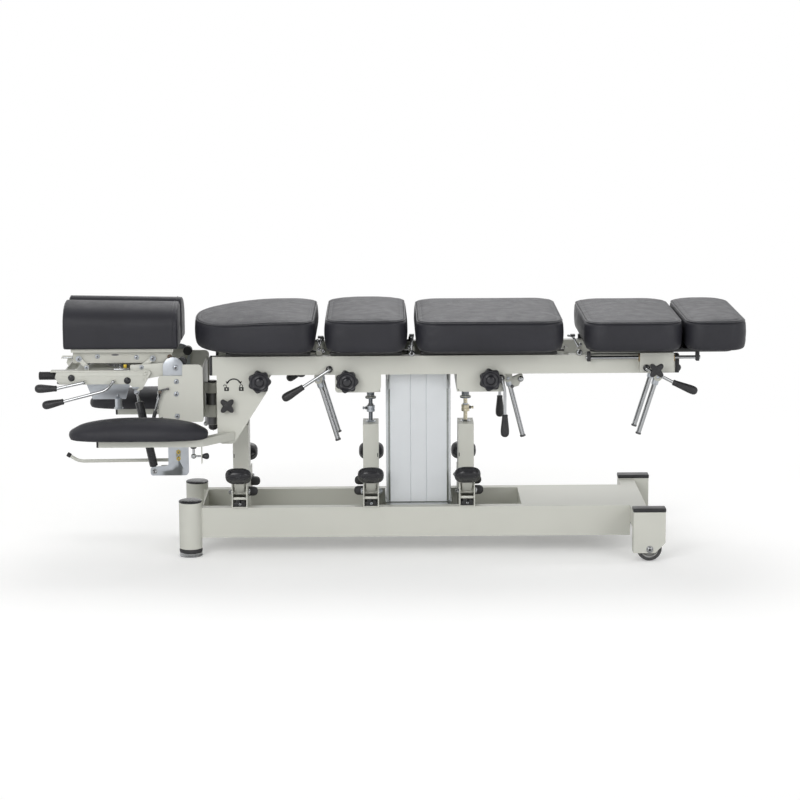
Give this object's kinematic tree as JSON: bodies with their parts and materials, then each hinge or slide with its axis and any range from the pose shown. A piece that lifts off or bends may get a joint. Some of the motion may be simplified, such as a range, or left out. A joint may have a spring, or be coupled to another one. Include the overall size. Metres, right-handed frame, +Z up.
{
  "type": "chiropractic table",
  "caption": "Chiropractic table with split cushions, lifting column, foot-cocked drop sections, sliding leg section and a tilting, swivelling head piece",
  "frame": {"origin": "on the floor, under the middle of the table's length and width", "axes": "+Z up, +X towards the foot end, -Y towards the viewer of the picture"},
  "size_m": [2.0865, 0.666, 0.757],
  "materials": {
    "painted_steel": "warm light grey powder coat",
    "black_metal": "black semi-gloss paint",
    "black_plastic": "black, smooth",
    "leather": "charcoal upholstery, fine grain",
    "wheel_rubber": "black, satin",
    "chrome": "polished",
    "zinc": "zinc plated",
    "aluminium": "satin anodised",
    "bronze": "sintered bronze, matt"
  },
  "bodies": {
    "base": {"base_frame": "painted_steel", "column_inner": "aluminium", "chest_post": "painted_steel", "thoracic_post": "painted_steel", "lumbar_post": "painted_steel"},
    "lift": {"upper_frame": "painted_steel", "column_outer": "aluminium", "swivel_pin": "zinc", "armrest_pad_near": "leather", "armrest_pad_far": "leather", "slide_bush_near": "bronze", "slide_bush_far": "bronze"},
    "foot_near": {"levelling_foot_near": "chrome"},
    "wheel_near": {"wheel_near": "wheel_rubber"},
    "foot_far": {"levelling_foot_far": "chrome"},
    "wheel_far": {"wheel_far": "wheel_rubber"},
    "chest_section": {"chest_platform": "black_metal", "chest_cushion": "leather"},
    "chest_rod": {"chest_push_rod": "chrome"},
    "chest_pedal_near": {"chest_pedal_near": "black_plastic"},
    "chest_pedal_far": {"chest_pedal_far": "black_plastic"},
    "thoracic_section": {"thoracic_platform": "black_metal", "thoracic_cushion": "leather"},
    "thoracic_rod": {"thoracic_push_rod": "chrome"},
    "thoracic_pedal_near": {"thoracic_pedal_near": "black_plastic"},
    "thoracic_pedal_far": {"thoracic_pedal_far": "black_plastic"},
    "lumbar_section": {"lumbar_platform": "black_metal", "lumbar_cushion": "leather"},
    "lumbar_rod": {"lumbar_push_rod": "chrome"},
    "lumbar_pedal_near": {"lumbar_pedal_near": "black_plastic"},
    "lumbar_pedal_far": {"lumbar_pedal_far": "black_plastic"},
    "leg_section": {"leg_carriage": "painted_steel", "slide_rod_near": "chrome", "slide_rod_far": "chrome", "pelvic_cushion": "leather", "foot_cushion": "leather"},
    "chest_knob": {"chest_knob": "black_plastic"},
    "thoracic_knob": {"thoracic_knob": "black_plastic"},
    "lumbar_knob": {"lumbar_knob": "black_plastic"},
    "swivel_star_knob": {"swivel_star_knob": "black_plastic"},
    "leg_star_knob": {"leg_star_knob": "black_plastic"},
    "head_lock_lever": {"head_lock_lever": "chrome"},
    "leg_lock_lever": {"leg_lock_lever": "chrome"},
    "lumbar_lock_lever": {"lumbar_lock_lever": "chrome"},
    "chest_handle": {"chest_handle": "chrome"},
    "lumbar_handle": {"lumbar_handle": "chrome"},
    "leg_handle": {"leg_handle": "chrome"},
    "swivel": {"swivel_carrier": "painted_steel"},
    "head_arm": {"head_arm": "painted_steel"},
    "head_cradle": {"head_carriage": "black_metal", "head_roll_near": "leather", "head_roll_far": "leather"},
    "link_front": {"link_front": "zinc"},
    "link_rear": {"link_rear": "zinc"},
    "strut_cylinder": {"strut_cylinder": "black_metal"},
    "strut_rod": {"strut_rod": "chrome"},
    "head_clamp_lever": {"head_clamp_lever": "zinc"},
    "drop_clamp_lever": {"drop_clamp_lever": "zinc"},
    "release_bar": {"release_bar": "zinc"}
  },
  "joints": [
    {"name": "lift_slide", "type": "slide", "parent": "base", "child": "lift", "axis": [0, 0, 1], "range_m": [0, 0.2]},
    {"name": "foot_near_turn", "type": "hinge", "parent": "base", "child": "foot_near", "pos_m": [-0.594, -0.144, 0], "axis": [0, 0, 1], "range_deg": [-180, 180]},
    {"name": "wheel_near_spin", "type": "hinge", "parent": "base", "child": "wheel_near", "pos_m": [0.76, -0.245, 0.0375], "axis": [0, 1, 0], "continuous": true},
    {"name": "foot_far_turn", "type": "hinge", "parent": "base", "child": "foot_far", "pos_m": [-0.594, 0.144, 0], "axis": [0, 0, 1], "range_deg": [-180, 180]},
    {"name": "wheel_far_spin", "type": "hinge", "parent": "base", "child": "wheel_far", "pos_m": [0.76, 0.245, 0.0375], "axis": [0, 1, 0], "continuous": true},
    {"name": "chest_drop", "type": "hinge", "parent": "lift", "child": "chest_section", "pos_m": [-0.2035, 0, 0.6125], "axis": [0, 1, 0], "range_deg": [0, 3.52]},
    {"name": "chest_rod_slide", "type": "slide", "parent": "lift", "child": "chest_rod", "axis": [0, 0, 1], "range_m": [0, 0.01496]},
    {"name": "chest_pedal_near_press", "type": "hinge", "parent": "base", "child": "chest_pedal_near", "pos_m": [-0.447, -0.122, 0.187], "axis": [1, 0, 0], "range_deg": [0, 20]},
    {"name": "chest_pedal_far_press", "type": "hinge", "parent": "base", "child": "chest_pedal_far", "pos_m": [-0.447, 0.122, 0.187], "axis": [1, 0, 0], "range_deg": [-20, 0]},
    {"name": "thoracic_drop", "type": "hinge", "parent": "lift", "child": "thoracic_section", "pos_m": [0.0645, 0, 0.6125], "axis": [0, 1, 0], "range_deg": [0, 3.77]},
    {"name": "thoracic_rod_slide", "type": "slide", "parent": "lift", "child": "thoracic_rod", "axis": [0, 0, 1], "range_m": [0, 0.008]},
    {"name": "thoracic_pedal_near_press", "type": "hinge", "parent": "base", "child": "thoracic_pedal_near", "pos_m": [-0.057, -0.122, 0.187], "axis": [1, 0, 0], "range_deg": [0, 20]},
    {"name": "thoracic_pedal_far_press", "type": "hinge", "parent": "base", "child": "thoracic_pedal_far", "pos_m": [-0.057, 0.122, 0.187], "axis": [1, 0, 0], "range_deg": [-20, 0]},
    {"name": "lumbar_drop", "type": "hinge", "parent": "lift", "child": "lumbar_section", "pos_m": [0.5215, 0, 0.6125], "axis": [0, 1, 0], "range_deg": [0, 2.92]},
    {"name": "lumbar_rod_slide", "type": "slide", "parent": "lift", "child": "lumbar_rod", "axis": [0, 0, 1], "range_m": [0, 0.01496]},
    {"name": "lumbar_pedal_near_press", "type": "hinge", "parent": "base", "child": "lumbar_pedal_near", "pos_m": [0.228, -0.122, 0.187], "axis": [1, 0, 0], "range_deg": [0, 20]},
    {"name": "lumbar_pedal_far_press", "type": "hinge", "parent": "base", "child": "lumbar_pedal_far", "pos_m": [0.228, 0.122, 0.187], "axis": [1, 0, 0], "range_deg": [-20, 0]},
    {"name": "leg_slide", "type": "slide", "parent": "lift", "child": "leg_section", "axis": [1, 0, 0], "range_m": [0, 0.1]},
    {"name": "chest_knob_turn", "type": "hinge", "parent": "lift", "child": "chest_knob", "pos_m": [-0.381, -0.16, 0.529], "axis": [0, 1, 0], "range_deg": [-540, 540]},
    {"name": "thoracic_knob_turn", "type": "hinge", "parent": "lift", "child": "thoracic_knob", "pos_m": [-0.125, -0.16, 0.528], "axis": [0, 1, 0], "range_deg": [-540, 540]},
    {"name": "lumbar_knob_turn", "type": "hinge", "parent": "lift", "child": "lumbar_knob", "pos_m": [0.296, -0.16, 0.531], "axis": [0, 1, 0], "range_deg": [-540, 540]},
    {"name": "swivel_star_knob_turn", "type": "hinge", "parent": "lift", "child": "swivel_star_knob", "pos_m": [-0.477, -0.16, 0.457], "axis": [0, 1, 0], "range_deg": [-540, 540]},
    {"name": "leg_star_knob_turn", "type": "hinge", "parent": "lift", "child": "leg_star_knob", "pos_m": [0.778, -0.19, 0.563], "axis": [0, 1, 0], "range_deg": [-540, 540]},
    {"name": "head_lock_lever_turn", "type": "hinge", "parent": "lift", "child": "head_lock_lever", "pos_m": [-0.177, 0, 0.562], "axis": [0, 1, 0], "range_deg": [-40, 30]},
    {"name": "leg_lock_lever_turn", "type": "hinge", "parent": "lift", "child": "leg_lock_lever", "pos_m": [0.752, 0, 0.565], "axis": [0, 1, 0], "range_deg": [0, 50]},
    {"name": "lumbar_lock_lever_turn", "type": "hinge", "parent": "lift", "child": "lumbar_lock_lever", "pos_m": [0.328, 0, 0.533], "axis": [0, 1, 0], "range_deg": [-40, 40]},
    {"name": "chest_handle_swing", "type": "hinge", "parent": "lift", "child": "chest_handle", "pos_m": [-0.211, 0, 0.518], "axis": [0, 1, 0], "range_deg": [-20, 30]},
    {"name": "lumbar_handle_swing", "type": "hinge", "parent": "lift", "child": "lumbar_handle", "pos_m": [0.352, 0, 0.52], "axis": [0, 1, 0], "range_deg": [-20, 20]},
    {"name": "leg_handle_swing", "type": "hinge", "parent": "lift", "child": "leg_handle", "pos_m": [0.797, 0, 0.52], "axis": [0, 1, 0], "range_deg": [-20, 20]},
    {"name": "head_swivel", "type": "hinge", "parent": "lift", "child": "swivel", "pos_m": [-0.532, 0, 0.43], "axis": [0, 0, 1], "range_deg": [-8, 8]},
    {"name": "head_tilt", "type": "hinge", "parent": "swivel", "child": "head_arm", "pos_m": [-0.629, 0, 0.566], "axis": [0, 1, 0], "range_deg": [-7, 15]},
    {"name": "head_drop", "type": "slide", "parent": "head_arm", "child": "head_cradle", "axis": [0, 0, 1], "range_m": [0, 0.008]},
    {"name": "link_front_turn", "type": "hinge", "parent": "head_arm", "child": "link_front", "pos_m": [-0.892, 0, 0.567], "axis": [0, 1, 0], "range_deg": [0, 27.5]},
    {"name": "link_rear_turn", "type": "hinge", "parent": "head_arm", "child": "link_rear", "pos_m": [-0.73, 0, 0.567], "axis": [0, 1, 0], "range_deg": [-15.6, 0]},
    {"name": "strut_swing", "type": "hinge", "parent": "swivel", "child": "strut_cylinder", "pos_m": [-0.703, -0.07, 0.243], "axis": [0, 1, 0], "range_deg": [-2.7, 1.26]},
    {"name": "strut_stroke", "type": "slide", "parent": "strut_cylinder", "child": "strut_rod", "axis": [-0.2, 0, 0.9798], "range_m": [-0.0168, 0.036]},
    {"name": "head_clamp_turn", "type": "hinge", "parent": "head_arm", "child": "head_clamp_lever", "pos_m": [-0.9, 0, 0.526], "axis": [0, 1, 0], "range_deg": [0, 25]},
    {"name": "drop_clamp_turn", "type": "hinge", "parent": "head_arm", "child": "drop_clamp_lever", "pos_m": [-0.812, 0, 0.528], "axis": [0, 1, 0], "range_deg": [-30, 0]},
    {"name": "release_bar_press", "type": "hinge", "parent": "swivel", "child": "release_bar", "pos_m": [-0.648, -0.03, 0.268], "axis": [0, 1, 0], "range_deg": [-8, 8]}
  ],
  "couplings": [
    {"joint": "chest_rod_slide", "follows": "chest_drop", "m_per_rad": 0.2435},
    {"joint": "chest_pedal_near_press", "follows": "chest_drop", "ratio": 5.6818},
    {"joint": "chest_pedal_far_press", "follows": "chest_drop", "ratio": -5.6818},
    {"joint": "thoracic_rod_slide", "follows": "thoracic_drop", "m_per_rad": 0.1215},
    {"joint": "thoracic_pedal_near_press", "follows": "thoracic_drop", "ratio": 5.305},
    {"joint": "thoracic_pedal_far_press", "follows": "thoracic_drop", "ratio": -5.305},
    {"joint": "lumbar_rod_slide", "follows": "lumbar_drop", "m_per_rad": 0.2935},
    {"joint": "lumbar_pedal_near_press", "follows": "lumbar_drop", "ratio": 6.8493},
    {"joint": "lumbar_pedal_far_press", "follows": "lumbar_drop", "ratio": -6.8493},
    {"joint": "link_front_turn", "follows": "head_drop", "rad_per_m": 59.996},
    {"joint": "link_rear_turn", "follows": "head_drop", "rad_per_m": -34.034},
    {"joint": "strut_swing", "follows": "head_tilt", "ratio": -0.18},
    {"joint": "strut_stroke", "follows": "head_tilt", "m_per_rad": 0.1375}
  ]
}
